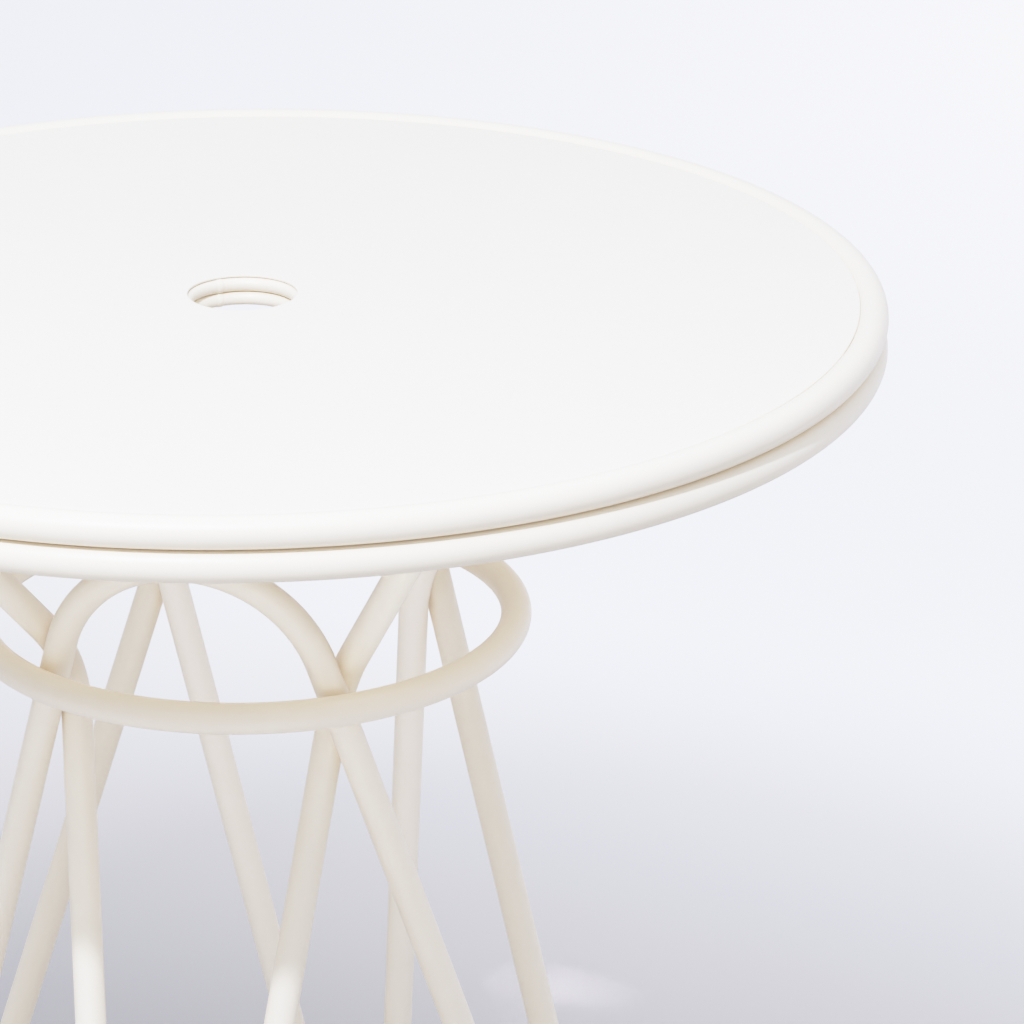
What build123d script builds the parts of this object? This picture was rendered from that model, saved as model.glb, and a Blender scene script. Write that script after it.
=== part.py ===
from build123d import *
import os
from math import sqrt, atan2, degrees, radians, cos, sin, pi

# Round cafe table: a sheet panel inside two stacked rim tubes, on a sheaf of
# bent tubes tied by a hoop.  Millimetres, +Z up, origin on the floor under
# the middle of the top.  The front arch faces -Y.

# ---------------------------------------------------------------- dimensions
TUBE_R = 8.5            # outside radius of every tube
TUBE_WALL = 2.0
TOP_R = 350.0           # outside radius of the rims
TABLE_H = 745.0         # top of the upper rim
RIM_PITCH = 17.2        # centre to centre of the two rims

PANEL_T = 1.0
PANEL_DROP = 2.4        # panel surface below the top of the upper rim
PANEL_GAP = 0.15        # panel edge to rim tube
HOLE_R = 29.8           # parasol hole
HUB_CR = 31.0           # centre line radius of the hub rings
HUB_ROD_R = 3.9         # rod of the hub rings
HUB_PITCH = 7.9
HUB_GAP = 0.5           # panel to the upper hub ring

HOOP_Z = 555.5          # binding hoop
HOOP_R = 149.0          # centre line radius

ARCH_X_HOOP = 78.0      # arch leg centre line at hoop height
ARCH_Y_HOOP = 106.3
ARCH_X_FOOT = 239.0     # and at the floor
ARCH_Y_FOOT = 11.0
ARCH_APEX_Z = 628.9     # centre line of the arch at its top

PINCH_Z = 554.5         # corner of the flared leg
PINCH_X = 74.4
PINCH_Y = 83.0
FLARE_X_FOOT = 11.0
FLARE_Y_FOOT = 250.5
FLARE_SLOPE = 0.832     # outward per unit of height above the pinch
PINCH_BEND_R = 60.0
SPOKE_BEND_R = 70.0

FOOT_CUT_Z = 6.0        # height at which the tube ends are sawn level
GLIDE_R = 10.2
GLIDE_PLUG_R = 6.35
GLIDE_PLUG_TOP = 26.0

RIB_WEB_W = 24.0        # hat rib
RIB_FLANGE_W = 11.0
RIB_T = 1.5
RIB_R0 = 47.0
RIB_R1 = 331.0
SCREW_R_POS = 306.0     # radius at which the top is screwed to the base
SCREW_R = 3.0

# ------------------------------------------------------------------- derived
TUBE_RI = TUBE_R - TUBE_WALL
RIM_CR = TOP_R - TUBE_R
RIM_Z = TABLE_H - TUBE_R
LOW_Z = RIM_Z - RIM_PITCH
PANEL_TOP = TABLE_H - PANEL_DROP
PANEL_BOT = PANEL_TOP - PANEL_T
PANEL_R = RIM_CR - sqrt(TUBE_R**2 - (PANEL_BOT - RIM_Z) ** 2) - PANEL_GAP
HUB_Z1 = PANEL_BOT - HUB_GAP - HUB_ROD_R
HUB_Z2 = HUB_Z1 - HUB_PITCH
PINCH_R = sqrt(PINCH_X**2 + PINCH_Y**2)
SPOKE_A = degrees(atan2(PINCH_Y, PINCH_X))     # bearing of a spoke from the X axis
SPOKE_Z = LOW_Z
SPOKE_R0 = PINCH_R + FLARE_SLOPE * (SPOKE_Z - PINCH_Z)

parts = {}


def at(r, a, z):
    return (r * cos(radians(a)), r * sin(radians(a)), z)


def tube(path, r_out, r_in=None):
    start = Plane(origin=path @ 0, z_dir=path % 0)
    section = Circle(r_out) if r_in is None else Circle(r_out) - Circle(r_in)
    return sweep(start * section, path=path)


def ring(cr, z, r_out, r_in=None, start=0.0, arc=360.0):
    section = Circle(r_out) if r_in is None else Circle(r_out) - Circle(r_in)
    body = revolve(Plane.XZ * (Pos(cr, z) * section), axis=Axis.Z, revolution_arc=arc)
    return Rot(0, 0, start) * body


def cyl_between(p, q, r):
    p, q = Vector(*p), Vector(*q)
    d = q - p
    return extrude(Plane(origin=p, z_dir=d) * Circle(r), d.length)


def slab(z0, z1, size=1200.0):
    return Pos(0, 0, (z0 + z1) / 2) * Box(size, size, z1 - z0)


def put(name, shape):
    parts[name] = shape


# ------------------------------------------------------------------ tabletop
panel = Pos(0, 0, (PANEL_TOP + PANEL_BOT) / 2) * (
    Cylinder(PANEL_R, PANEL_T) - Cylinder(HOLE_R, PANEL_T)
)
panel = fillet(panel.edges().filter_by(GeomType.CIRCLE).group_by(Axis.Z)[-1].sort_by(SortBy.RADIUS)[0], 0.25)
panel = fillet(panel.edges().filter_by(GeomType.CIRCLE).group_by(Axis.Z)[-1].sort_by(SortBy.RADIUS)[-1], 0.5)
put("tabletop_panel", panel)

# the rims and the hoop are bent tubes, closed at the rear by a butt weld
# over a sleeve inside
BUTT = 1.0
rims = {"upper_rim_tube": (RIM_CR, RIM_Z), "lower_rim_tube": (RIM_CR, LOW_Z), "binding_hoop": (HOOP_R, HOOP_Z)}
full_rings = {}
butt_welds, sleeves = [], []
for name, (cr, z) in rims.items():
    gap = degrees(BUTT / cr)
    put(name, ring(cr, z, TUBE_R, TUBE_RI, 90 + gap / 2, 360 - gap))
    full_rings[name] = ring(cr, z, TUBE_R)
    butt_welds.append(ring(cr, z, TUBE_R, TUBE_RI, 90 - gap / 2, gap))
    span = degrees(46.0 / cr)
    sleeves.append(ring(cr, z, TUBE_RI - 0.1, TUBE_RI - 1.6, 90 - span / 2, span))
put("ring_butt_welds", Compound(children=butt_welds))
put("ring_joint_sleeves", Compound(children=sleeves))

# two rod rings under the hole, standing a little into it
hub1 = ring(HUB_CR, HUB_Z1, HUB_ROD_R)
hub2 = ring(HUB_CR, HUB_Z2, HUB_ROD_R)
put("upper_hub_ring", hub1)
put("lower_hub_ring", hub2)
HUB_WELD_A = 131.5
beads = []
for z in (HUB_Z1, HUB_Z2):
    span = degrees(5.0 / HUB_CR)
    bead = ring(HUB_CR, z, HUB_ROD_R + 0.35, None, HUB_WELD_A - span / 2, span)
    bead = bead - hub1 - hub2
    beads.append(bead & slab(z - 3.4, z + 3.4))
put("hub_ring_welds", Compound(children=[s for b in beads for s in b.solids()]))
tacks = []
for a in (0, 90, 180, 270):
    x, y, _ = at(HUB_CR + HUB_ROD_R + 0.6, a, 0)
    bar = Pos(x, y, (HUB_Z2 - 2.0 + PANEL_BOT) / 2) * Cylinder(2.6, PANEL_BOT - HUB_Z2 + 2.0)
    bar = bar - hub1 - hub2
    tacks.append(max(bar.solids(), key=lambda s: s.volume))
put("hub_tack_welds", Compound(children=tacks))

# stitch welds between the underside of the panel and the upper rim
stitches = []
for k in range(12):
    span = degrees(20.0 / 332.0)
    bead = ring(332.4, PANEL_BOT - 1.3, 2.6, None, 30 * k - span / 2, span)
    bead = bead - full_rings["upper_rim_tube"] - panel - slab(PANEL_BOT, PANEL_BOT + 20)
    stitches.append(max(bead.solids(), key=lambda s: s.volume))
put("panel_stitch_welds", Compound(children=stitches))

# folded hat ribs, one over each spoke
web_bot = SPOKE_Z + TUBE_R + 0.2
h = PANEL_BOT - web_bot
hw, ow = RIB_WEB_W / 2, RIB_WEB_W / 2 + RIB_FLANGE_W
outline = [
    (-ow, h), (-hw + RIB_T, h), (-hw + RIB_T, RIB_T), (hw - RIB_T, RIB_T), (hw - RIB_T, h), (ow, h),
    (ow, h - RIB_T), (hw, h - RIB_T), (hw, 0), (-hw, 0), (-hw, h - RIB_T), (-ow, h - RIB_T),
]
rib_plane = Plane(origin=(RIB_R0, 0, web_bot), x_dir=(0, 1, 0), z_dir=(1, 0, 0))
rib = extrude(rib_plane * Polygon(*outline, align=None), RIB_R1 - RIB_R0, dir=(1, 0, 0))
rib = rib - Pos(SCREW_R_POS, 0, web_bot) * Cylinder(4.5, 12)

# screw, washer and rivet nut on the X axis, later turned to each spoke
nut = Pos(SCREW_R_POS, 0, web_bot + 4.6) * (Cylinder(4.45, 9.2) - Cylinder(SCREW_R + 0.05, 9.2))
nut = nut + Pos(SCREW_R_POS, 0, web_bot + RIB_T + 0.5) * (Cylinder(6.2, 1.0) - Cylinder(SCREW_R + 0.05, 1.0))
under = SPOKE_Z - TUBE_R
washer = Pos(SCREW_R_POS, 0, under + 0.5) * (Cylinder(8.0, 5.0) - Cylinder(3.3, 5.0))
washer = washer - Pos(SCREW_R_POS, 0, SPOKE_Z) * Rot(0, 90, 0) * Cylinder(TUBE_R + 0.05, 60)
washer = max(washer.solids(), key=lambda s: s.volume)
wb = under - 2.0
shank_top = web_bot + 8.6
screw = Pos(SCREW_R_POS, 0, (wb + shank_top) / 2) * Cylinder(SCREW_R, shank_top - wb)
head = Pos(SCREW_R_POS, 0, wb - 1.75) * Cylinder(5.6, 3.5)
head = fillet(head.edges().filter_by(GeomType.CIRCLE).group_by(Axis.Z)[0], 1.6)
head = head - Pos(SCREW_R_POS, 0, wb - 2.6) * extrude(RegularPolygon(2.3, 6), -2.4)
screw = screw + head

# ------------------------------------------------------------------- the base
# arch leg: two legs that meet in a point, rounded to the arch
m_y = (ARCH_Y_HOOP - ARCH_Y_FOOT) / HOOP_Z
k_x = (ARCH_X_FOOT - ARCH_X_HOOP) / HOOP_Z


def arch_pt(z, side):
    return (side * (ARCH_X_FOOT - k_x * z), -(ARCH_Y_FOOT + m_y * z), z)


z_meet = ARCH_X_FOOT / k_x
lean = sqrt(1 + m_y**2)
half = atan2(k_x, lean)                                    # half angle in the leg's own plane
to_apex = (z_meet - ARCH_APEX_Z) * lean
ARCH_BEND_R = to_apex * sin(half) / (1 - sin(half))
arch_path = FilletPolyline(
    arch_pt(-40, 1), (0, arch_pt(z_meet, 1)[1], z_meet), arch_pt(-40, -1), radius=ARCH_BEND_R
)
below = slab(-200, FOOT_CUT_Z)
arch_full = tube(arch_path, TUBE_R)
arch = tube(arch_path, TUBE_R, TUBE_RI) - below

# flared leg in the quadrant +X -Y: foot, pinch, spoke
a = -SPOKE_A
foot = Vector(FLARE_X_FOOT, -FLARE_Y_FOOT, 0)
pinch = Vector(PINCH_X, -PINCH_Y, PINCH_Z)
ext = foot + (foot - pinch) * (40.0 / PINCH_Z)
flare_path = FilletPolyline(
    ext, pinch, at(SPOKE_R0, a, SPOKE_Z), at(RIM_CR, a, SPOKE_Z), radius=[PINCH_BEND_R, SPOKE_BEND_R]
)
flare_full = tube(flare_path, TUBE_R)
rim_cut = ring(RIM_CR, LOW_Z, TUBE_R + 0.05)
flare = tube(flare_path, TUBE_R, TUBE_RI) - below - rim_cut
flare = max(flare.solids(), key=lambda s: s.volume)
x, y, _ = at(SCREW_R_POS, a, 0)
flare = flare - Pos(x, y, SPOKE_Z) * Cylinder(3.3, 40)

# where the flared leg bears on the arch leg
best = None
N = 300
pa = [arch_path @ (0.20 + 0.22 * i / N) for i in range(N + 1)]
pf = [flare_path @ (0.45 + 0.30 * i / N) for i in range(N + 1)]
for p in pa:
    for q in pf:
        d = (p - q).length
        if best is None or d < best[0]:
            best = (d, p, q)
cross_gap = best[0] - 2 * TUBE_R
cross_pt = (best[1] + best[2]) * 0.5
cross_weld = Pos(*cross_pt) * Sphere(5.5) - arch_full - flare_full
ca = degrees(atan2(-ARCH_Y_HOOP, ARCH_X_HOOP))
hr = sqrt(ARCH_X_HOOP**2 + ARCH_Y_HOOP**2)
hoop_gap = HOOP_R - hr - 2 * TUBE_R
# a bead in the notch under the hoop, where the leg runs out from behind it
WELD_DROP = 7.2
wx, wy, wz = at((HOOP_R + hr) / 2, ca, HOOP_Z - WELD_DROP)
slip = WELD_DROP * (k_x * sin(radians(-ca)) + m_y * cos(radians(-ca))) / 2
wx, wy = wx + slip * sin(radians(-ca)), wy + slip * cos(radians(-ca))
hoop_weld = Pos(wx, wy, wz) * Sphere(4.3) - arch_full - full_rings["binding_hoop"] - flare_full
hoop_weld = max(hoop_weld.solids(), key=lambda s: s.volume)
spoke_weld = cyl_between(at(RIM_CR - 13.5, a, SPOKE_Z), at(RIM_CR - 3.0, a, SPOKE_Z), TUBE_R + 2.2)
spoke_weld = spoke_weld - flare_full - ring(RIM_CR, LOW_Z, TUBE_R) - slab(SPOKE_Z + 5.0, SPOKE_Z + 40)
spoke_weld = max(spoke_weld.solids(), key=lambda s: s.volume)


def glide(p0, p1):
    """plug glide in a tube end: p0 on the floor, p1 further up the leg."""
    d = (Vector(*p1) - Vector(*p0)).normalized()
    lo, hi = Vector(*p0) - d * 30, Vector(*p0) + d * 60
    pad = cyl_between(lo, hi, GLIDE_R) & slab(0, FOOT_CUT_Z)
    rim_edges = pad.edges().filter_by(lambda e: e.bounding_box().size.Z < 1e-4).group_by(Axis.Z)[0]
    pad = fillet(rim_edges, 1.2)
    plug = cyl_between(lo, hi, GLIDE_PLUG_R) & slab(FOOT_CUT_Z - 2, GLIDE_PLUG_TOP)
    return pad + plug


arch_glide = glide(arch_pt(0, 1), arch_pt(200, 1))
flare_glide = glide(foot, foot + (pinch - foot) * 0.4)

X, Y = Plane.YZ, Plane.XZ          # mirror planes: X -> -X, Y -> -Y


def quads(shape):
    """the four mirror images, starting with +X -Y."""
    return {
        "front_right": shape,
        "front_left": mirror(shape, about=X),
        "rear_right": mirror(shape, about=Y),
        "rear_left": mirror(mirror(shape, about=X), about=Y),
    }


put("front_arch_leg", arch)
put("rear_arch_leg", mirror(arch, about=Y))
for q, s in quads(flare).items():
    put(q + "_flared_leg", s)
for q, s in quads(arch_glide).items():
    put(q + "_arch_glide", s)
for q, s in quads(flare_glide).items():
    put(q + "_flared_glide", s)
turned = {"front_right": -SPOKE_A, "front_left": 180 + SPOKE_A, "rear_right": SPOKE_A, "rear_left": 180 - SPOKE_A}
for q, ang in turned.items():
    put(q + "_panel_rib", Rot(0, 0, ang) * rib)
put("mounting_screws", Compound(children=[Rot(0, 0, t) * screw for t in turned.values()]))
put("saddle_washers", Compound(children=[Rot(0, 0, t) * washer for t in turned.values()]))
put("rivet_nuts", Compound(children=[Rot(0, 0, t) * nut for t in turned.values()]))


def group(shape):
    return Compound(children=[s for v in quads(shape).values() for s in v.solids()])


put("hoop_welds", group(hoop_weld))
put("crossing_welds", group(cross_weld))
put("spoke_welds", group(spoke_weld))

print("arch bend radius %.1f" % ARCH_BEND_R)
print("spoke bearing %.2f, spoke starts at radius %.1f" % (SPOKE_A, SPOKE_R0))
print("gap arch leg to flared leg %.3f at %s" % (cross_gap, cross_pt))
print("gap arch leg to hoop %.3f" % hoop_gap)
print("panel radius %.2f" % PANEL_R)

os.makedirs("parts", exist_ok=True)
for name, shape in parts.items():
    export_step(shape, "parts/%s.step" % name)
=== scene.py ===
from math import sin, cos, tan, pi, sqrt, radians, degrees, atan2, acos, hypot, exp

import bpy
from mathutils import Matrix, Vector, noise


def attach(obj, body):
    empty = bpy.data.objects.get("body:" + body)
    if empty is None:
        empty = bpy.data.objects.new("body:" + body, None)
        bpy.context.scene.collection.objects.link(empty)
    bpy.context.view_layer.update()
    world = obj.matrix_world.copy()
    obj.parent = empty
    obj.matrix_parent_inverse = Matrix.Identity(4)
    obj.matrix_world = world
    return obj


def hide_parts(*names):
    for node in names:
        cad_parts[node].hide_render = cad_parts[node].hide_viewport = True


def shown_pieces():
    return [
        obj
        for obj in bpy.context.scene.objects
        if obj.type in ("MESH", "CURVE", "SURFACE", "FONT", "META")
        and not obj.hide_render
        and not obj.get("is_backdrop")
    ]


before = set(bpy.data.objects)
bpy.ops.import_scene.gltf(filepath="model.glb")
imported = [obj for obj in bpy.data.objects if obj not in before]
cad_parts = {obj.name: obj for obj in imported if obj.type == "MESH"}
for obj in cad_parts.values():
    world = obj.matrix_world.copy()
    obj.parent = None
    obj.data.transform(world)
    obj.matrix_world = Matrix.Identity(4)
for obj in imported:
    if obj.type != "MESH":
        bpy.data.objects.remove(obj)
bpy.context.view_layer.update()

# ------------------------------------------------------------------ dimensions
# Millimetres, in the frame of the CAD model: +Z up, origin on the floor.
MM = 0.001
TUBE_R = 8.5
RIM_CR, RIM_Z, LOW_Z = 341.5, 736.5, 719.3
PANEL_TOP, PANEL_BOT, PANEL_R, HOLE_R = 742.6, 741.6, 334.55, 29.8
HUB_CR, HUB_ROD_R, HUB_Z1, HUB_Z2 = 31.0, 3.9, 737.2, 729.3
HOOP_R, HOOP_Z = 149.0, 555.5
ARCH_HOOP, ARCH_FOOT, ARCH_APEX_Z = (78.0, 106.3), (239.0, 11.0), 628.9
PINCH, FLARE_FOOT, FLARE_SLOPE = (74.4, 83.0, 554.5), (11.0, 250.5), 0.832
PINCH_BEND_R, SPOKE_BEND_R = 60.0, 70.0
FOOT_CUT_Z, GLIDE_R = 6.0, 10.2
SPOKE_A = atan2(PINCH[1], PINCH[0])
SPOKE_R0 = hypot(PINCH[0], PINCH[1]) + FLARE_SLOPE * (LOW_Z - PINCH[2])


def P(x, y, z):
    return Vector((x, y, z))


# ------------------------------------------------------------------- materials
def new_material(name):
    m = bpy.data.materials.new(name)
    m.use_nodes = True
    nt = m.node_tree
    nt.nodes.clear()
    out = nt.nodes.new("ShaderNodeOutputMaterial")
    bsdf = nt.nodes.new("ShaderNodeBsdfPrincipled")
    nt.links.new(bsdf.outputs["BSDF"], out.inputs["Surface"])
    return m, nt, bsdf


def node(nt, kind, **values):
    n = nt.nodes.new(kind)
    for key, value in values.items():
        if key in n.inputs:
            n.inputs[key].default_value = value
        else:
            setattr(n, key, value)
    return n


def noise_tex(nt, coords, scale, detail=2.0, rough=0.5, lac=2.0, distort=0.0):
    n = node(nt, "ShaderNodeTexNoise", Scale=scale, Detail=detail, Roughness=rough, Lacunarity=lac, Distortion=distort)
    nt.links.new(coords, n.inputs["Vector"])
    return n.outputs["Fac"]


def ramp(nt, fac, stops):
    n = nt.nodes.new("ShaderNodeValToRGB")
    els = n.color_ramp.elements
    while len(els) < len(stops):
        els.new(0.5)
    for el, (pos, col) in zip(els, stops):
        el.position = pos
        el.color = (*col, 1.0) if len(col) == 3 else col
    nt.links.new(fac, n.inputs["Fac"])
    return n.outputs["Color"]


def remap(nt, fac, a, b, c, d, smooth=False):
    n = nt.nodes.new("ShaderNodeMapRange")
    n.interpolation_type = "SMOOTHSTEP" if smooth else "LINEAR"
    n.clamp = True
    for i, v in zip((1, 2, 3, 4), (a, b, c, d)):
        n.inputs[i].default_value = v
    nt.links.new(fac, n.inputs[0])
    return n.outputs[0]


def math(nt, op, a, b=None, c=None):
    n = nt.nodes.new("ShaderNodeMath")
    n.operation = op
    for i, v in enumerate((a, b, c)):
        if v is None:
            continue
        if isinstance(v, (int, float)):
            n.inputs[i].default_value = v
        else:
            nt.links.new(v, n.inputs[i])
    return n.outputs[0]


def mix(nt, fac, a, b, blend="MIX"):
    n = nt.nodes.new("ShaderNodeMix")
    n.data_type = "RGBA"
    n.blend_type = blend
    for socket, v in ((n.inputs[0], fac), (n.inputs[6], a), (n.inputs[7], b)):
        if isinstance(v, (int, float)):
            socket.default_value = v
        elif isinstance(v, tuple):
            socket.default_value = (*v, 1.0)
        else:
            nt.links.new(v, socket)
    return n.outputs[2]


def bump(nt, height, distance, strength=1.0, normal=None):
    n = node(nt, "ShaderNodeBump", Strength=strength, Distance=distance)
    nt.links.new(height, n.inputs["Height"])
    if normal is not None:
        nt.links.new(normal, n.inputs["Normal"])
    return n.outputs["Normal"]


def scaled(nt, coords, s):
    n = node(nt, "ShaderNodeMapping")
    n.inputs["Scale"].default_value = s
    nt.links.new(coords, n.inputs["Vector"])
    return n.outputs["Vector"]


def shade(c, k):
    return tuple(v * k for v in c)


def powder_coat(name, base, rough, wear=True, sheet=False):
    """Baked powder coat: an even tone with a slow drift, a fine grain, orange peel, and rubbed patches low on the legs."""
    m, nt, bsdf = new_material(name)
    co = node(nt, "ShaderNodeTexCoord").outputs["Object"]
    drift = noise_tex(nt, co, 5.5 if not sheet else 3.2, 3.0, 0.55)
    grain = noise_tex(nt, co, 2600.0, 2.0, 0.6)
    mottle = noise_tex(nt, co, 95.0, 3.0, 0.6)
    colour = ramp(nt, drift, [(0.30, shade(base, 0.975)), (0.52, base), (0.74, tuple(min(0.96, v * 1.015) for v in base))])
    colour = mix(nt, remap(nt, mottle, 0.35, 0.7, 0.0, 0.35, True), colour, tuple(v * k for v, k in zip(base, (0.985, 0.975, 0.955))))
    colour = mix(nt, remap(nt, grain, 0.56, 0.74, 0.0, 0.30), colour, tuple(v * k for v, k in zip(base, (0.93, 0.91, 0.88))))
    rough_v = remap(nt, mottle, 0.30, 0.70, rough - 0.045, rough + 0.05)
    rough_v = math(nt, "ADD", rough_v, remap(nt, grain, 0.35, 0.7, -0.025, 0.035))
    if wear:
        # rubbed and scuffed coat low on the legs
        sep = node(nt, "ShaderNodeSeparateXYZ")
        nt.links.new(co, sep.inputs[0])
        low = remap(nt, sep.outputs["Z"], 0.150, 0.004, 0.0, 1.0, True)
        patches = noise_tex(nt, co, 62.0, 5.0, 0.68)
        marks = noise_tex(nt, scaled(nt, co, (420.0, 420.0, 60.0)), 1.0, 3.0, 0.6)
        scuff = math(nt, "MULTIPLY", low, remap(nt, math(nt, "ADD", patches, math(nt, "MULTIPLY", marks, 0.35)), 0.70, 0.86, 0.0, 1.0, True))
        colour = mix(nt, math(nt, "MULTIPLY", scuff, 0.42), colour, (0.50, 0.47, 0.42))
        rough_v = math(nt, "ADD", rough_v, math(nt, "MULTIPLY", scuff, 0.16))
    nt.links.new(colour, bsdf.inputs["Base Color"])
    nt.links.new(rough_v, bsdf.inputs["Roughness"])
    bsdf.inputs["Specular IOR Level"].default_value = 0.5
    peel = noise_tex(nt, co, 330.0, 2.0, 0.45)
    normal = bump(nt, peel, 0.00010, 0.35)
    normal = bump(nt, grain, 0.00003, 0.40, normal)
    nt.links.new(normal, bsdf.inputs["Normal"])
    return m


def moulded_plastic(name, base):
    m, nt, bsdf = new_material(name)
    co = node(nt, "ShaderNodeTexCoord").outputs["Object"]
    cloud = noise_tex(nt, co, 70.0, 3.0, 0.6)
    grain = noise_tex(nt, co, 1900.0, 3.0, 0.65)
    sep = node(nt, "ShaderNodeSeparateXYZ")
    nt.links.new(co, sep.inputs[0])
    low = remap(nt, sep.outputs["Z"], 0.0045, 0.0, 0.0, 1.0, True)
    colour = ramp(nt, cloud, [(0.3, shade(base, 0.93)), (0.7, shade(base, 1.03))])
    colour = mix(nt, remap(nt, grain, 0.45, 0.75, 0.0, 0.25), colour, shade(base, 0.8))
    dirt = math(nt, "MULTIPLY", low, remap(nt, cloud, 0.35, 0.65, 0.25, 0.8))
    colour = mix(nt, dirt, colour, (0.30, 0.28, 0.25))
    nt.links.new(colour, bsdf.inputs["Base Color"])
    nt.links.new(remap(nt, grain, 0.3, 0.7, 0.50, 0.66), bsdf.inputs["Roughness"])
    bsdf.inputs["Specular IOR Level"].default_value = 0.45
    nt.links.new(bump(nt, grain, 0.00006, 0.5), bsdf.inputs["Normal"])
    return m


def steel(name, base, rough, turn=True):
    m, nt, bsdf = new_material(name)
    co = node(nt, "ShaderNodeTexCoord").outputs["Object"]
    cloud = noise_tex(nt, co, 260.0, 4.0, 0.6)
    lines = noise_tex(nt, scaled(nt, co, (500.0, 500.0, 5200.0)), 1.0, 3.0, 0.6)
    colour = ramp(nt, cloud, [(0.28, shade(base, 0.82)), (0.55, base), (0.8, tuple(min(1.0, v * k) for v, k in zip(base, (1.10, 1.09, 1.05))))])
    colour = mix(nt, remap(nt, lines, 0.45, 0.7, 0.0, 0.4), colour, shade(base, 0.72))
    nt.links.new(colour, bsdf.inputs["Base Color"])
    bsdf.inputs["Metallic"].default_value = 1.0
    nt.links.new(math(nt, "ADD", remap(nt, cloud, 0.3, 0.7, rough - 0.07, rough + 0.08), remap(nt, lines, 0.4, 0.7, 0.0, 0.06)), bsdf.inputs["Roughness"])
    nt.links.new(bump(nt, lines, 0.00003, 0.5), bsdf.inputs["Normal"])
    return m


TUBE_COAT = powder_coat("tube_coat", (0.887, 0.806, 0.668), 0.42)
PANEL_COAT = powder_coat("panel_coat", (0.877, 0.806, 0.688), 0.50, wear=False, sheet=True)
GLIDE = moulded_plastic("glide_plastic", (0.60, 0.575, 0.52))
ZINC = steel("zinc_steel", (0.62, 0.63, 0.65), 0.34)
RAW = steel("raw_steel", (0.40, 0.39, 0.375), 0.48)


# ------------------------------------------------------------------ mesh tools
def piece(name, verts, faces, material, slot, nodes, sharp=None):
    """A mesh from millimetre points, riding on the one body and standing for the CAD nodes named."""
    me = bpy.data.meshes.new(name)
    me.from_pydata([(v[0] * MM, v[1] * MM, v[2] * MM) for v in verts], [], faces)
    me.validate()
    me.update()
    me.polygons.foreach_set("use_smooth", [True] * len(me.polygons))
    if sharp:
        me.set_sharp_from_angle(angle=radians(sharp))
    me.materials.append(material)
    o = bpy.data.objects.new(name, me)
    bpy.context.scene.collection.objects.link(o)
    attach(o, "root")
    if nodes:
        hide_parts(*nodes)
    return o


def fillet_path(pts, radii, arc_step=2.5, run_step=14.0):
    """Points along a polyline whose inner corners are rounded to the given radii."""
    out = [pts[0]]

    def run_to(q):
        p = out[-1]
        n = max(1, int((q - p).length / run_step))
        for i in range(1, n + 1):
            out.append(p.lerp(q, i / n))

    for i, r in enumerate(radii, start=1):
        p = pts[i]
        u, v = (pts[i - 1] - p).normalized(), (pts[i + 1] - p).normalized()
        half = acos(max(-1.0, min(1.0, u.dot(v)))) / 2
        t = r / tan(half)
        c = p + (u + v).normalized() * (r / sin(half))
        run_to(p + u * t)
        a, b = p + u * t - c, p + v * t - c
        axis = a.cross(b).normalized()
        sweep = pi - 2 * half
        n = max(4, int(degrees(sweep) / arc_step))
        for k in range(1, n + 1):
            out.append(c + Matrix.Rotation(sweep * k / n, 3, axis) @ a)
    run_to(pts[-1])
    return out


def frames(path, closed=False):
    """Tangent and two normals at each point, carried along without twist."""
    n = len(path)
    tan_ = []
    for i in range(n):
        a = path[(i - 1) % n] if closed or i > 0 else path[i]
        b = path[(i + 1) % n] if closed or i < n - 1 else path[i]
        tan_.append((b - a).normalized())
    ref = Vector((0, 0, 1)) if abs(tan_[0].z) < 0.9 else Vector((1, 0, 0))
    nrm = (ref - tan_[0] * ref.dot(tan_[0])).normalized()
    res = []
    for i in range(n):
        if i:
            nrm = tan_[i - 1].rotation_difference(tan_[i]) @ nrm
            nrm = (nrm - tan_[i] * nrm.dot(tan_[i])).normalized()
        res.append((tan_[i], nrm, tan_[i].cross(nrm)))
    return res


def sweep_tube(path, radius, seg=40, shape=None):
    """Rings of points along a path; shape(i, k) may return a factor on the radius."""
    verts = []
    for i, (p, (t, n, b)) in enumerate(zip(path, frames(path))):
        for k in range(seg):
            a = 2 * pi * k / seg
            r = radius * (shape(i, k) if shape else 1.0)
            verts.append(p + (n * cos(a) + b * sin(a)) * r)
    return verts


def skin(rings, seg, start_cap=True, end_cap=True, first=0):
    """Faces over rings of points; the caps are fans of one face."""
    f = []
    for i in range(rings - 1):
        for k in range(seg):
            a, b = first + i * seg + k, first + i * seg + (k + 1) % seg
            f.append((a, b, b + seg, a + seg))
    if start_cap:
        f.append(tuple(first + k for k in reversed(range(seg))))
    if end_cap:
        f.append(tuple(first + (rings - 1) * seg + k for k in range(seg)))
    return f


def torus(cr, z, r, n_major, n_minor, profile=None):
    """A ring of round section; profile(azimuth) is added to the section's radius."""
    verts, faces = [], []
    for i in range(n_major):
        a = 2 * pi * i / n_major
        rr = r + (profile(a) if profile else 0.0)
        for k in range(n_minor):
            b = 2 * pi * k / n_minor
            q = cr + rr * cos(b)
            verts.append((q * cos(a), q * sin(a), z + rr * sin(b)))
    for i in range(n_major):
        j = (i + 1) % n_major
        for k in range(n_minor):
            l = (k + 1) % n_minor
            faces.append((i * n_minor + k, j * n_minor + k, j * n_minor + l, i * n_minor + l))
    return verts, faces


def lathe(profile, n, closed):
    """Profile points (r, z) turned about Z."""
    verts, faces, m = [], [], len(profile)
    for i in range(n):
        a = 2 * pi * i / n
        verts += [(r * cos(a), r * sin(a), z) for r, z in profile]
    for i in range(n):
        j = (i + 1) % n
        for k in range(m if closed else m - 1):
            l = (k + 1) % m
            faces.append((i * m + k, j * m + k, j * m + l, i * m + l))
    return verts, faces


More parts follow.
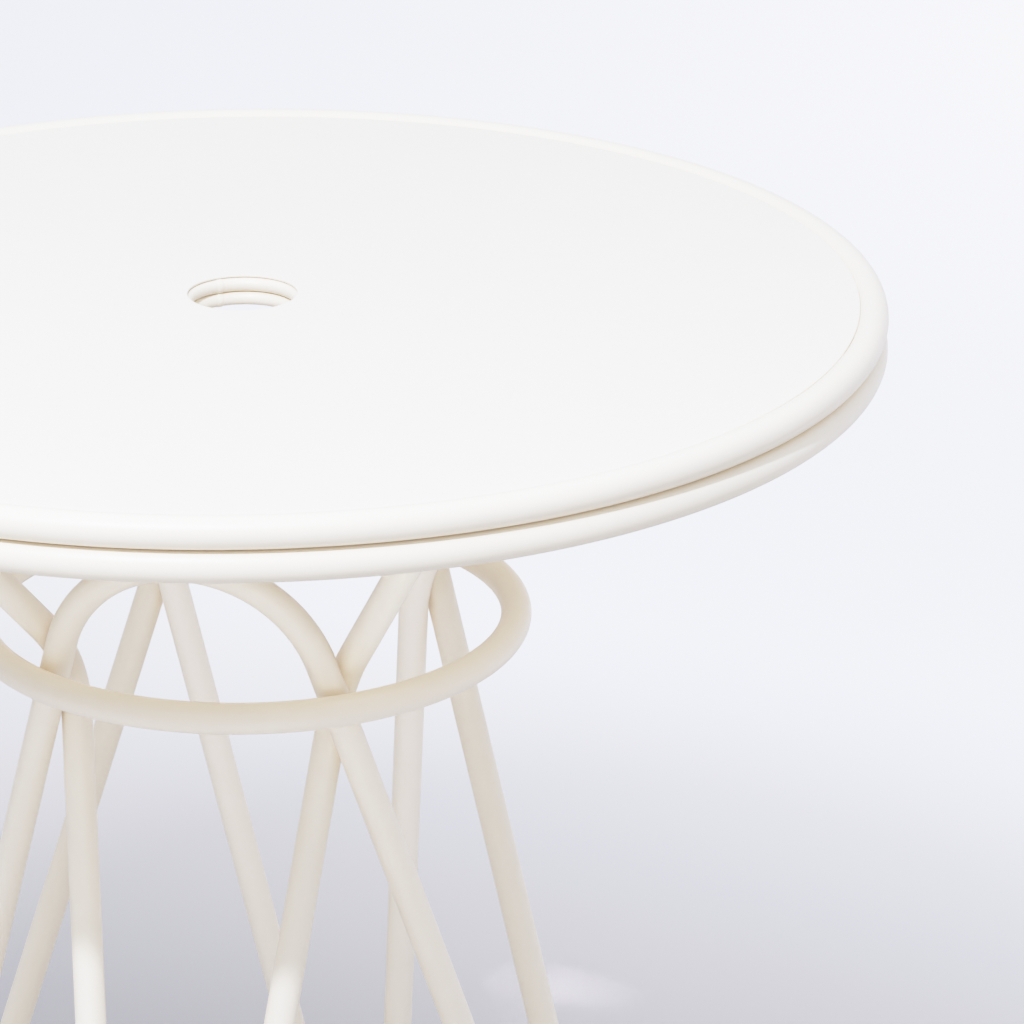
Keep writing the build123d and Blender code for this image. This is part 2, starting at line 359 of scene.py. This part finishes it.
def quarter(cx, cz, r, a0, a1, n=6):
    return [(cx + r * cos(radians(a0 + (a1 - a0) * i / n)), cz + r * sin(radians(a0 + (a1 - a0) * i / n))) for i in range(n + 1)]


def bead(path, radius, pitch, seed, seg=14, open_ends=True):
    """A weld run under the coat: a round bead with ripples and tapered ends."""
    n = len(path)
    s = [0.0]
    for i in range(1, n):
        s.append(s[-1] + (path[i] - path[i - 1]).length)
    total = s[-1]

    def shape(i, k):
        d = min(s[i], total - s[i])
        end = sqrt(max(0.0, 1 - (1 - min(1.0, d / (1.3 * radius))) ** 2)) if open_ends else 1.0
        lump = noise.noise(Vector((s[i] * 0.11, seed * 3.7, 0.4 * k / seg)))
        return max(0.03, end) * (1.0 + 0.06 * sin(2 * pi * s[i] / pitch) + 0.10 * lump)

    return sweep_tube(path, radius, seg, shape), skin(n, seg)


def join(parts):
    verts, faces = [], []
    for v, f in parts:
        k = len(verts)
        verts += [tuple(p) for p in v]
        faces += [tuple(i + k for i in face) for face in f]
    return verts, faces


def turned(part, angle):
    c, s = cos(angle), sin(angle)
    return [(p[0] * c - p[1] * s, p[0] * s + p[1] * c, p[2]) for p in part[0]], part[1]


def mirrored(part, sx, sy):
    v = [(p[0] * sx, p[1] * sy, p[2]) for p in part[0]]
    f = part[1] if sx * sy > 0 else [tuple(reversed(face)) for face in part[1]]
    return v, f


QUADS = {"front_right": (1, 1), "front_left": (-1, 1), "rear_right": (1, -1), "rear_left": (-1, -1)}

# ---------------------------------------------------------------------- the top
# sheet panel: rolled edges outside and at the hole
prof = [(HOLE_R, PANEL_BOT)]
prof += quarter(HOLE_R + 0.3, PANEL_TOP - 0.3, 0.3, 180, 90)
prof += [(r, PANEL_TOP) for r in (32, 36, 44, 60, 90, 130, 170, 210, 250, 290, 315, 328)]
prof += quarter(PANEL_R - 0.6, PANEL_TOP - 0.6, 0.6, 90, 0)
prof += [(PANEL_R, PANEL_BOT)]
prof += [(r, PANEL_BOT) for r in (328, 290, 230, 170, 110, 60, 36)]
piece("tabletop_panel_sheet", *lathe(prof[::-1], 512, True), PANEL_COAT, "panel_coat", ["tabletop_panel"], sharp=50)

# rims, bent tubes whose butt weld at the rear is dressed flush
def dressed(cr):
    def f(a):
        d = (a - pi / 2 + pi) % (2 * pi) - pi
        s = d * cr
        return -0.10 * exp(-(s / 5.0) ** 2) - 0.05 * exp(-(s / 0.7) ** 2)
    return f


piece("upper_rim", *torus(RIM_CR, RIM_Z, TUBE_R, 900, 44, dressed(RIM_CR)), TUBE_COAT, "tube_coat", ["upper_rim_tube", "ring_butt_welds"])
piece("lower_rim", *torus(RIM_CR, LOW_Z, TUBE_R, 900, 44, dressed(RIM_CR)), TUBE_COAT, "tube_coat", ["lower_rim_tube"])

# rod rings under the hole, each with its butt weld
for nm, z, old in (("hub_ring_upper", HUB_Z1, "upper_hub_ring"), ("hub_ring_lower", HUB_Z2, "lower_hub_ring")):
    piece(nm, *torus(HUB_CR, z, HUB_ROD_R, 240, 28), TUBE_COAT, "tube_coat", [old])
parts = []
for z in (HUB_Z1, HUB_Z2):
    pts, n = [], 16
    for i in range(n + 1):
        a = radians(131.5) + (i / n - 0.5) * 6.0 / HUB_CR
        pts.append(P(HUB_CR * cos(a), HUB_CR * sin(a), z))
    parts.append((sweep_tube(pts, HUB_ROD_R, 28, lambda i, k: 0.985 + 0.095 * exp(-((i / n - 0.5) * 3.4) ** 4)), skin(n + 1, 28)))
piece("hub_ring_weld_marks", *join(parts), TUBE_COAT, "tube_coat", ["hub_ring_welds"])

parts = []
for k in range(4):
    a = k * pi / 2
    r = HUB_CR + HUB_ROD_R + 0.3
    path = [P(r * cos(a), r * sin(a), HUB_Z2 - 1.6 + (PANEL_BOT - 0.2 - HUB_Z2 + 1.6) * i / 18) for i in range(19)]
    parts.append(bead(path, 2.3, 2.1, 11 + k))
piece("hub_tack_beads", *join(parts), TUBE_COAT, "tube_coat", ["hub_tack_welds"])

parts = []
for k in range(12):
    a0 = radians(30 * k)
    path = []
    for i in range(31):
        a = a0 + (i / 30 - 0.5) * 20.0 / 332.0
        path.append(P(331.9 * cos(a), 331.9 * sin(a), PANEL_BOT - 2.2))
    parts.append(bead(path, 2.1, 1.9, 30 + k))
piece("panel_stitch_beads", *join(parts), TUBE_COAT, "tube_coat", ["panel_stitch_welds"])

# folded hat ribs under the panel
h = PANEL_BOT - (LOW_Z + TUBE_R + 0.2)
web_z = LOW_Z + TUBE_R + 0.2
mid = fillet_path([P(0, -23, h - 0.75), P(0, -11.25, h - 0.75), P(0, -11.25, 0.75), P(0, 11.25, 0.75), P(0, 11.25, h - 0.75), P(0, 23, h - 0.75)], [1.9] * 4, 12.0, 40.0)
outer, inner = [], []
for i, p in enumerate(mid):
    a, b = mid[max(0, i - 1)], mid[min(len(mid) - 1, i + 1)]
    d = (b - a).normalized()
    nrm = Vector((0, -d.z, d.y))
    outer.append(p + nrm * 0.75)
    inner.append(p - nrm * 0.75)
section = outer + inner[::-1]
m_ = len(section)
stations = [47.0 + (331.0 - 47.0) * i / 24 for i in range(25)]
rib_v = [(x, p.y, p.z + web_z) for x in stations for p in section]
rib_f = []
for i in range(len(stations) - 1):
    for k in range(m_):
        a, b = i * m_ + k, i * m_ + (k + 1) % m_
        rib_f.append((a, a + m_, b + m_, b))
rib_f.append(tuple(range(m_)))
rib_f.append(tuple((len(stations) - 1) * m_ + k for k in reversed(range(m_))))
for q, ang in (("front_right", -SPOKE_A), ("front_left", pi + SPOKE_A), ("rear_right", SPOKE_A), ("rear_left", pi - SPOKE_A)):
    piece(q + "_hat_rib", *turned((rib_v, rib_f), ang), TUBE_COAT, "tube_coat", [q + "_panel_rib"], sharp=40)

# --------------------------------------------------------------------- the base
piece("hoop", *torus(HOOP_R, HOOP_Z, TUBE_R, 480, 44, dressed(HOOP_R)), TUBE_COAT, "tube_coat", ["binding_hoop"])


def cut_level(verts, ring0, ring1, seg, z):
    """Slides one end ring along its tube until it lies in the plane z."""
    for k in range(seg):
        a, b = verts[ring0 * seg + k], verts[ring1 * seg + k]
        d = b - a
        verts[ring0 * seg + k] = a + d * ((z - a.z) / d.z)


SEG = 44
k_x = (ARCH_FOOT[0] - ARCH_HOOP[0]) / HOOP_Z
m_y = (ARCH_HOOP[1] - ARCH_FOOT[1]) / HOOP_Z
z_meet = ARCH_FOOT[0] / k_x
lean = sqrt(1 + m_y ** 2)
half_angle = atan2(k_x, lean)
arch_bend = (z_meet - ARCH_APEX_Z) * lean * sin(half_angle) / (1 - sin(half_angle))


def arch_pt(z, side):
    return P(side * (ARCH_FOOT[0] - k_x * z), -(ARCH_FOOT[1] + m_y * z), z)


path = fillet_path([arch_pt(14, 1), P(0, arch_pt(z_meet, 1).y, z_meet), arch_pt(14, -1)], [arch_bend])
arch_v = sweep_tube(path, TUBE_R, SEG)
cut_level(arch_v, 0, 1, SEG, FOOT_CUT_Z)
cut_level(arch_v, len(path) - 1, len(path) - 2, SEG, FOOT_CUT_Z)
arch = (arch_v, skin(len(path), SEG))
piece("front_arch_tube", *arch, TUBE_COAT, "tube_coat", ["front_arch_leg"], sharp=50)
piece("rear_arch_tube", *mirrored(arch, 1, -1), TUBE_COAT, "tube_coat", ["rear_arch_leg"], sharp=50)

foot, pinch = P(FLARE_FOOT[0], -FLARE_FOOT[1], 0), P(PINCH[0], -PINCH[1], PINCH[2])
ca, sa = cos(-SPOKE_A), sin(-SPOKE_A)
path = fillet_path(
    [foot.lerp(pinch, 14 / PINCH[2]), pinch, P(SPOKE_R0 * ca, SPOKE_R0 * sa, LOW_Z), P((RIM_CR - 10.0) * ca, (RIM_CR - 10.0) * sa, LOW_Z)],
    [PINCH_BEND_R, SPOKE_BEND_R],
)
flare_v = sweep_tube(path, TUBE_R, SEG)
cut_level(flare_v, 0, 1, SEG, FOOT_CUT_Z)
last = (len(path) - 1) * SEG
for k in range(SEG):                       # coped to the lower rim
    v = flare_v[last + k]
    side = v.x * -sa + v.y * ca
    dz = v.z - LOW_Z
    reach = RIM_CR - sqrt(max(0.0, (TUBE_R + 0.02) ** 2 - dz * dz)) - 0.04
    along = sqrt(reach ** 2 - side ** 2)
    flare_v[last + k] = P(along * ca - side * sa, along * sa + side * ca, v.z)
flare = (flare_v, skin(len(path), SEG))
for q, (sx, sy) in QUADS.items():
    piece(q + "_flared_tube", *mirrored(flare, sx, sy), TUBE_COAT, "tube_coat", [q + "_flared_leg"], sharp=50)

# weld round the end of each spoke, from one side of the rib to the other
path = []
for i in range(81):
    t = radians(146 + (394 - 146) * i / 80)
    side, dz = (TUBE_R + 0.5) * cos(t), (TUBE_R + 0.5) * sin(t)
    reach = RIM_CR - sqrt(max(0.0, (TUBE_R + 0.5) ** 2 - dz * dz)) - 0.2
    along = min(sqrt(reach ** 2 - side ** 2), RIM_CR - 3.5)
    path.append(P(along * ca - side * sa, along * sa + side * ca, LOW_Z + dz))
collar = bead(path, 1.75, 2.0, 71)
piece("spoke_weld_beads", *join([mirrored(collar, sx, sy) for sx, sy in QUADS.values()]), TUBE_COAT, "tube_coat", ["spoke_welds"])


# a short run in the notch under the hoop, where an arch leg comes out from behind it
ha = atan2(-ARCH_HOOP[1], ARCH_HOOP[0])
mid_r = (HOOP_R + hypot(*ARCH_HOOP)) / 2
path = []
for i in range(25):
    u = (i / 24 - 0.5) * 9.4
    r = mid_r + 0.1 - u * u / 17.0
    path.append(P(r * cos(ha) - (u + 1.2) * sin(ha), r * sin(ha) + (u + 1.2) * cos(ha), HOOP_Z - 7.2))
notch = bead(path, 3.0, 1.9, 91)
piece("hoop_weld_beads", *join([mirrored(notch, sx, sy) for sx, sy in QUADS.values()]), TUBE_COAT, "tube_coat", ["hoop_welds"])


# plug glides: a moulded pad on the slant of each leg
def glide(p0, d):
    prof = [(0.0, 0.0), (GLIDE_R - 4.6, 0.0), (GLIDE_R - 4.2, 0.35), (GLIDE_R - 3.2, 0.35), (GLIDE_R - 2.8, 0.0)]
    prof += quarter(GLIDE_R - 1.2, 1.2, 1.2, -90, 0, 6)
    prof += [(GLIDE_R, 3.1), (GLIDE_R - 0.35, 3.4), (GLIDE_R - 0.35, 3.9), (GLIDE_R, 4.2)]
    prof += quarter(GLIDE_R - 0.7, FOOT_CUT_Z - 0.7, 0.7, 0, 90, 5)
    prof += [(TUBE_R - 2.3, FOOT_CUT_Z), (TUBE_R - 2.4, 20.0), (TUBE_R - 3.4, 25.5), (0.0, 25.5)]
    lean_x, lean_y = d.x / d.z, d.y / d.z
    verts, faces, n = [], [], 48
    for r, z in prof[1:-1]:
        for k in range(n):
            a = 2 * pi * k / n
            verts.append((p0.x + lean_x * z + r * cos(a), p0.y + lean_y * z + r * sin(a), z))
    rings = len(prof) - 2
    faces = skin(rings, n)
    return verts, faces


arch_glide = glide(arch_pt(0, 1), arch_pt(100, 1) - arch_pt(0, 1))
flare_glide = glide(foot, pinch - foot)
for q, (sx, sy) in QUADS.items():
    piece(q + "_arch_pad", *mirrored(arch_glide, sx, sy), GLIDE, "glide_plastic", [q + "_arch_glide"], sharp=35)
    piece(q + "_flared_pad", *mirrored(flare_glide, sx, sy), GLIDE, "glide_plastic", [q + "_flared_glide"], sharp=35)

# CAD nodes that stay as they are
for nm, mat in (("crossing_welds", TUBE_COAT), ("mounting_screws", ZINC), ("saddle_washers", ZINC), ("rivet_nuts", ZINC), ("ring_joint_sleeves", RAW)):
    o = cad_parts[nm]
    for s in o.material_slots:
        s.link = "OBJECT"
        s.material = mat

# ------------------------------------------------------------------------ stage
BASE = Matrix.Rotation(0.2876, 3, "Z")     # the camera's frame is turned about Z
fm, nt, bsdf = new_material("studio_floor")
co = node(nt, "ShaderNodeTexCoord").outputs["Object"]
flat = node(nt, "ShaderNodeVectorMath", operation="DOT_PRODUCT")
nt.links.new(co, flat.inputs[0])
flat.inputs[1].default_value = BASE @ Vector((sin(radians(35.0)), cos(radians(35.0)), 0.0))
wide = noise_tex(nt, co, 0.9, 3.0, 0.5)
near, far, pale = (1.07, 1.0, 0.965), (1.035, 1.0, 1.03), (1.05, 1.0, 0.99)
# painted shadow: the floor's tone along the view is darkest under and just behind the table, where the top's shadow
# falls, light far behind it, and darker again towards the camera
floor_tones_painted_shadow = [(0.0, far, 0.90), (0.2625, far, 0.90), (0.2875, far, 0.865), (0.3125, pale, 0.80), (0.3375, pale, 0.74), (0.3625, pale, 0.665), (0.3875, near, 0.60), (0.4125, near, 0.552), (0.4375, near, 0.50), (0.4625, near, 0.45), (0.50, near, 0.39), (0.63, near, 0.37), (0.71, pale, 0.58), (0.80, pale, 0.64), (1.0, pale, 0.64)]
colour = ramp(nt, remap(nt, flat.outputs["Value"], 2.3, -1.7, 0.0, 1.0), [(t, shade(c, v)) for t, c, v in floor_tones_painted_shadow])
colour = mix(nt, remap(nt, wide, 0.35, 0.65, 0.0, 0.12), colour, shade(pale, 0.70))
nt.links.new(colour, bsdf.inputs["Base Color"])
bsdf.inputs["Roughness"].default_value = 0.85
bsdf.inputs["Specular IOR Level"].default_value = 0.15
# a flat disc that turns up into a low wall far away, all round
me = bpy.data.meshes.new("studio_floor")
prof = [(0.5, 0.0), (2.0, 0.0), (6.0, 0.0), (14.0, 0.0), (26.0, 0.0)] + [(26.0 + 6.0 * sin(radians(t)), 6.0 - 6.0 * cos(radians(t))) for t in range(5, 91, 5)] + [(32.0, 8.0)]
n = 96
verts = [(0.0, 0.0, -0.0003)] + [(r * cos(2 * pi * k / n), r * sin(2 * pi * k / n), z - 0.0003) for r, z in prof for k in range(n)]
faces = [(0, 1 + k, 1 + (k + 1) % n) for k in range(n)]
for i in range(len(prof) - 1):
    for k in range(n):
        p0, p1 = 1 + i * n + k, 1 + i * n + (k + 1) % n
        faces.append((p0, p0 + n, p1 + n, p1))
me.from_pydata(verts, [], faces)
for f in me.polygons:
    f.use_smooth = True
floor = bpy.data.objects.new("studio_floor", me)
me.materials.append(fm)
bpy.context.scene.collection.objects.link(floor)
floor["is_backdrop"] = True

# ------------------------------------------------------------------- camera
cam = bpy.data.cameras.new("camera")
cam.sensor_width = 36.0
cam.lens = 4908.836566 * 36.0 / 1024.0
cam.clip_end = 100.0
yaw, pitch, roll = 0.057911, 0.369047, 0.00172
fwd = Vector((sin(yaw) * cos(pitch), cos(yaw) * cos(pitch), -sin(pitch)))
rgt = Vector((cos(yaw), -sin(yaw), 0.0))
up = rgt.cross(fwd)
rgt, up = rgt * cos(roll) + up * sin(roll), up * cos(roll) - rgt * sin(roll)
rgt, up, fwd = BASE @ rgt, BASE @ up, BASE @ fwd
pos = BASE @ Vector((0.0, -2.530441, 0.855705)) + Vector((0.0, 0.0, RIM_Z * MM))
cam_o = bpy.data.objects.new("camera", cam)
cam_o.matrix_world = Matrix((
    (rgt.x, up.x, -fwd.x, pos.x),
    (rgt.y, up.y, -fwd.y, pos.y),
    (rgt.z, up.z, -fwd.z, pos.z),
    (0.0, 0.0, 0.0, 1.0),
))
bpy.context.scene.collection.objects.link(cam_o)
bpy.context.scene.camera = cam_o


# ------------------------------------------------------------------- lights
def area(name, azimuth, elevation, distance, size, power, colour, target=(0.0, 0.0, 0.5), spread=180.0):
    """A disc lamp; azimuth is from the X axis, in degrees."""
    l = bpy.data.lights.new(name, "AREA")
    l.shape = "DISK"
    l.size = size
    l.energy = power
    l.color = colour
    l.spread = radians(spread)
    o = bpy.data.objects.new(name, l)
    a, e = radians(azimuth), radians(elevation)
    d = Vector((cos(e) * cos(a), cos(e) * sin(a), sin(e)))
    o.location = Vector(target) + d * distance
    o.rotation_mode = "QUATERNION"
    o.rotation_quaternion = d.to_track_quat("Z", "Y")
    o.visible_camera = False
    bpy.context.scene.collection.objects.link(o)
    return o


# One small lamp gives the object its key light; a wider one in the same place lights the floor.
KEY_AT = BASE @ Vector((1.44 * cos(radians(-109.0)), 1.44 * sin(radians(-109.0)), 2.34))
KEY_AIM = Vector((0.0, 0.0, 0.55))
d = (KEY_AT - KEY_AIM)
key_az, key_el, key_d = degrees(atan2(d.y, d.x)), degrees(atan2(d.z, hypot(d.x, d.y))), d.length
key = area("key", key_az, key_el, key_d, 0.07, 36.0, (0.925, 1.012, 1.22), KEY_AIM)
key_floor = area("key_floor", key_az, key_el, key_d, 0.55, 42.0, (0.92, 1.0, 1.12), KEY_AIM)
# a lamp low at the far right lifts the floor behind the object
d = BASE @ Vector((1.3, 0.0, 1.2))
sweep_lamp = area("sweep_lamp", degrees(atan2(d.y, d.x)), degrees(atan2(d.z, hypot(d.x, d.y))), d.length, 1.2, 22.0, (1.0, 1.0, 1.06), BASE @ Vector((0.9, 3.0, 0.0)))
# weak lamps for the tubes in the shade of the top, with nothing standing in their way
d = BASE @ Vector((0.05, -1.50, -0.05))
under_fill = area("under_fill", degrees(atan2(d.y, d.x)), degrees(atan2(d.z, hypot(d.x, d.y))), d.length, 0.40, 0.098, (0.97, 1.0, 1.08), (0.0, 0.0, 0.62), 20.0)
flare_fill = area("flare_fill", degrees(atan2(d.y, d.x)), degrees(atan2(d.z, hypot(d.x, d.y))), d.length, 0.30, 0.12, (0.97, 1.0, 1.04), (0.0, 0.0, 0.70), 14.0)
rear_fill = area("rear_fill", degrees(atan2(d.y, d.x)), degrees(atan2(d.z, hypot(d.x, d.y))), d.length, 0.40, 0.43, (0.94, 1.0, 1.25), (0.0, 0.0, 0.50), 40.0)
d = BASE @ Vector((0.70, -0.20, 1.50))
hoop_fill = area("hoop_fill", degrees(atan2(d.y, d.x)), degrees(atan2(d.z, hypot(d.x, d.y))), d.length, 0.40, 4.5, (1.06, 1.0, 0.93), (0.0, 0.0, 0.5555))
d = BASE @ Vector((0.10, -0.75, -0.50))
hoop_bounce = area("hoop_bounce", degrees(atan2(d.y, d.x)), degrees(atan2(d.z, hypot(d.x, d.y))), d.length, 0.30, 0.95, (0.99, 1.0, 1.05), (0.0, 0.0, 0.5555))
# a narrow beam from the key's place shines through the hole in the top onto the floor
d = KEY_AT - Vector((0.0, 0.0, PANEL_BOT * MM))
hole_beam = area("hole_beam", degrees(atan2(d.y, d.x)), degrees(atan2(d.z, hypot(d.x, d.y))), d.length, 0.14, 0.30, (0.92, 1.0, 1.12), (0.0, 0.0, PANEL_BOT * MM), 9.0)
on_tubes = bpy.data.collections.new("lit_tubes")
on_flare = bpy.data.collections.new("lit_flare")
on_rear = bpy.data.collections.new("lit_rear")
on_hoop = bpy.data.collections.new("lit_hoop")
on_floor = bpy.data.collections.new("lit_floor")
on_floor.objects.link(floor)
on_object = bpy.data.collections.new("lit_object")
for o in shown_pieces():
    on_object.objects.link(o)
    if o.name == "hoop":
        on_hoop.objects.link(o)
    elif o.name == "front_right_flared_tube":
        on_flare.objects.link(o)
    elif o.name in ("rear_right_flared_tube", "rear_left_flared_tube"):
        on_rear.objects.link(o)
    elif o.name in ("front_left_flared_tube", "front_arch_tube", "rear_arch_tube"):
        on_tubes.objects.link(o)
key.light_linking.receiver_collection = on_object
under_fill.light_linking.receiver_collection = on_tubes
under_fill.light_linking.blocker_collection = on_floor
flare_fill.light_linking.receiver_collection = on_flare
flare_fill.light_linking.blocker_collection = on_floor
rear_fill.light_linking.receiver_collection = on_rear
rear_fill.light_linking.blocker_collection = on_floor
hoop_fill.light_linking.receiver_collection = on_hoop
hoop_fill.light_linking.blocker_collection = on_floor
hoop_bounce.light_linking.receiver_collection = on_hoop
hoop_bounce.light_linking.blocker_collection = on_floor
key_floor.light_linking.receiver_collection = on_floor
sweep_lamp.light_linking.receiver_collection = on_floor
hole_beam.light_linking.receiver_collection = on_floor

world = bpy.data.worlds.new("studio")
bpy.context.scene.world = world
world.use_nodes = True
wt = world.node_tree
wt.nodes.clear()
wo = wt.nodes.new("ShaderNodeOutputWorld")
bg = wt.nodes.new("ShaderNodeBackground")
wt.links.new(bg.outputs[0], wo.inputs["Surface"])
tc = wt.nodes.new("ShaderNodeTexCoord")
sep = wt.nodes.new("ShaderNodeSeparateXYZ")
wt.links.new(tc.outputs["Generated"], sep.inputs[0])
sky = ramp(wt, sep.outputs["Z"], [(0.0, (0.61, 0.585, 0.545)), (0.35, (0.78, 0.78, 0.78)), (1.0, (1.46, 1.62, 1.97))])
# brighter from the front than from behind
front = node(wt, "ShaderNodeVectorMath", operation="DOT_PRODUCT")
wt.links.new(tc.outputs["Generated"], front.inputs[0])
front.inputs[1].default_value = BASE @ Vector((cos(radians(-95.0)), sin(radians(-95.0)), 0.0))
sky = mix(wt, 1.0, sky, remap(wt, front.outputs["Value"], -1.0, 1.0, 0.80, 1.15), "MULTIPLY")
wt.links.new(sky, bg.inputs["Color"])
bg.inputs["Strength"].default_value = 1.0

# ------------------------------------------------------------------ view
vs = bpy.context.scene.view_settings
vs.view_transform = "Standard"
vs.look = "None"
vs.exposure = 0.0
vs.gamma = 1.0
vs.use_curve_mapping = True
cm = vs.curve_mapping
WHITE = 2.5
cm.white_level = (WHITE, WHITE, WHITE)
cm.clip_max_x = 1.0
curve = cm.curves[3]
knots = [(x, x if x <= 0.5 else 1 - 0.5 * exp(-(x - 0.5) / 0.5)) for x in (0.0, 0.25, 0.5, 0.7, 0.9, 1.15, 1.45, 1.8, 2.5)]
knots[-1] = (WHITE, 1.0)
while len(curve.points) < len(knots):
    curve.points.new(0.5, 0.5)
for pt, (x, y) in zip(curve.points, knots):
    pt.location = (x / WHITE, y)
cm.update()

scene = bpy.context.scene
scene.cycles.use_denoising = True
scene.cycles.max_bounces = 12
scene.cycles.diffuse_bounces = 8
